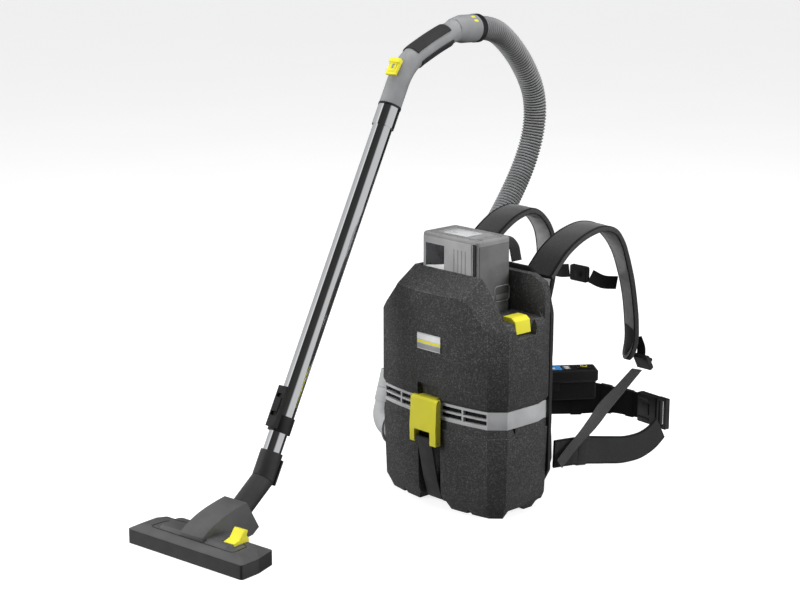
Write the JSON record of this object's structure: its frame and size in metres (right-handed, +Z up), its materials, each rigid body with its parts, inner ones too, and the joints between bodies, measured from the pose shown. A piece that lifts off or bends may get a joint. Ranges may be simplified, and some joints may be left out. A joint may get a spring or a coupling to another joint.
{
  "type": "backpack vacuum cleaner",
  "caption": "Battery backpack vacuum cleaner: foam housing over a latched dust container, padded harness, ribbed hose, bent handle, telescopic chrome wand and floor nozzle.",
  "frame": {"origin": "centre of the container's feet on the floor", "axes": "+Z up; -Y the outer face with the latch; +Y the wearer's back and harness; -X the hose side"},
  "size_m": [0.3877, 1.0103, 0.8502],
  "materials": {
    "foam": "speckled expanded foam",
    "band": "light grey moulded plastic",
    "black_plastic": "fine grained black plastic",
    "dark_plastic": "dark grey moulded plastic",
    "grey_plastic": "mid grey moulded plastic",
    "yellow_plastic": "yellow moulded plastic",
    "hose_plastic": "grey ribbed hose",
    "chrome_tube": "polished chrome",
    "steel": "turned steel",
    "rubber": "soft black rubber",
    "fabric": "dark grey woven fabric",
    "pad_fabric": "black padded mesh",
    "webbing": "black woven webbing",
    "fleece": "white fleece filter",
    "board": "green circuit board",
    "display_glass": "blue lit display",
    "label": "printed plate without text"
  },
  "bodies": {
    "container": {"container_shell": "foam", "inlet_port": "band", "inlet_seal": "rubber", "filter_bag": "fleece", "closing_strap": "rubber", "strap_pin": "steel"},
    "latch": {"latch": "yellow_plastic"},
    "head": {"head_shell": "foam", "exhaust_band": "band", "exhaust_filter": "pad_fabric", "rim_seal": "rubber", "motor_mount": "rubber", "motor": "steel", "circuit_board": "board", "battery_dock": "black_plastic", "badge": "label", "back_plate": "black_plastic", "back_pad": "pad_fabric", "strap_right": "fabric", "strap_left": "fabric", "lower_webbing": "webbing", "strap_adjusters": "black_plastic", "sternum_straps": "webbing", "sternum_buckle": "black_plastic", "grab_handle": "webbing", "belt_right": "fabric", "belt_left": "fabric", "buckle_socket": "black_plastic", "control_box": "black_plastic", "display": "display_glass"},
    "tongue": {"buckle_tongue": "black_plastic"},
    "battery": {"battery": "black_plastic"},
    "battery_clip": {"battery_clip": "black_plastic"},
    "release_key": {"release_key": "yellow_plastic"},
    "power_button": {"power_button": "black_plastic"},
    "suction_hose": {"inlet_elbow": "band", "elbow_collar": "dark_plastic", "hose_lower_cuff": "band", "hose": "hose_plastic", "hose_upper_cuff": "grey_plastic"},
    "wand": {"handle_shell": "grey_plastic", "grip_top": "rubber", "grip_bottom": "rubber", "swivel_ring": "black_plastic", "upper_tube": "chrome_tube", "tube_ring": "black_plastic", "lock_housing": "black_plastic"},
    "air_slider": {"air_slider": "yellow_plastic"},
    "lock_button": {"lock_button": "black_plastic"},
    "inner_tube": {"lower_tube": "chrome_tube", "neck_socket": "dark_plastic"},
    "neck": {"neck_elbow": "dark_plastic"},
    "nozzle": {"nozzle_base": "dark_plastic", "nozzle_cover": "dark_plastic", "nozzle_hood": "dark_plastic", "tilt_pins": "steel", "wheel_axles": "steel"},
    "pedal": {"nozzle_pedal": "yellow_plastic"},
    "brush": {"brush_strip": "webbing"},
    "wheels": {"nozzle_wheels": "dark_plastic"}
  },
  "joints": [
    {"name": "latch_open", "type": "hinge", "parent": "container", "child": "latch", "pos_m": [0, -0.097, 0.127], "axis": [1, 0, 0], "range_deg": [0, 110]},
    {"name": "head_lift", "type": "slide", "parent": "container", "child": "head", "axis": [0, 0, 1], "range_m": [0, 0.16]},
    {"name": "waist_buckle", "type": "slide", "parent": "head", "child": "tongue", "axis": [0.9945, -0.1045, 0], "range_m": [0, 0.034]},
    {"name": "battery_lift", "type": "slide", "parent": "head", "child": "battery", "axis": [0, 0, 1], "range_m": [0, 0.15]},
    {"name": "battery_clip_press", "type": "slide", "parent": "battery", "child": "battery_clip", "axis": [-1, 0, 0], "range_m": [0, 0.003], "stiffness_N_per_m": 400},
    {"name": "release_key_press", "type": "slide", "parent": "head", "child": "release_key", "axis": [0, 0, -1], "range_m": [0, 0.0035], "stiffness_N_per_m": 1200, "springref_m": -0.002},
    {"name": "power_press", "type": "slide", "parent": "head", "child": "power_button", "axis": [0, 0, -1], "range_m": [0, 0.0015], "stiffness_N_per_m": 900, "springref_m": -0.001},
    {"name": "hose_swivel", "type": "hinge", "parent": "container", "child": "suction_hose", "pos_m": [-0.1585, -0.02, 0.098], "axis": [1, 0, 0], "range_deg": [-34, 0]},
    {"name": "handle_swivel", "type": "hinge", "parent": "suction_hose", "child": "wand", "pos_m": [-0.184, 0.21409, 0.8225], "axis": [-0.1253, 0.9915, -0.0349], "continuous": true},
    {"name": "air_slide", "type": "slide", "parent": "wand", "child": "air_slider", "axis": [-0.0761, 0.6026, 0.7944], "range_m": [0, 0.006]},
    {"name": "lock_slide", "type": "slide", "parent": "wand", "child": "lock_button", "axis": [-0.0615, 0.487, 0.8712], "range_m": [0, 0.006], "stiffness_N_per_m": 300, "springref_m": -0.002},
    {"name": "telescope", "type": "slide", "parent": "wand", "child": "inner_tube", "axis": [0.0615, -0.487, -0.8712], "range_m": [0, 0.35]},
    {"name": "neck_swivel", "type": "hinge", "parent": "inner_tube", "child": "neck", "pos_m": [-0.10892, -0.38019, 0.093], "axis": [-0.0839, 0.6639, 0.7431], "range_deg": [-90, 90]},
    {"name": "nozzle_tilt", "type": "hinge", "parent": "neck", "child": "nozzle", "pos_m": [-0.09777, -0.46849, 0.0307], "axis": [0.9921, 0.1253, 0], "range_deg": [0, 20]},
    {"name": "pedal_rock", "type": "hinge", "parent": "nozzle", "child": "pedal", "pos_m": [-0.09176, -0.51611, 0.029], "axis": [0.9921, 0.1253, 0], "range_deg": [0, 8]},
    {"name": "brush_drop", "type": "slide", "parent": "nozzle", "child": "brush", "axis": [0, 0, -1], "range_m": [0, 0.003]},
    {"name": "wheel_spin", "type": "hinge", "parent": "nozzle", "child": "wheels", "pos_m": [-0.09338, -0.50321, 0.0094], "axis": [0.9921, 0.1253, 0], "continuous": true}
  ],
  "couplings": [
    {"joint": "brush_drop", "follows": "pedal_rock", "m_per_rad": 0.021486}
  ]
}
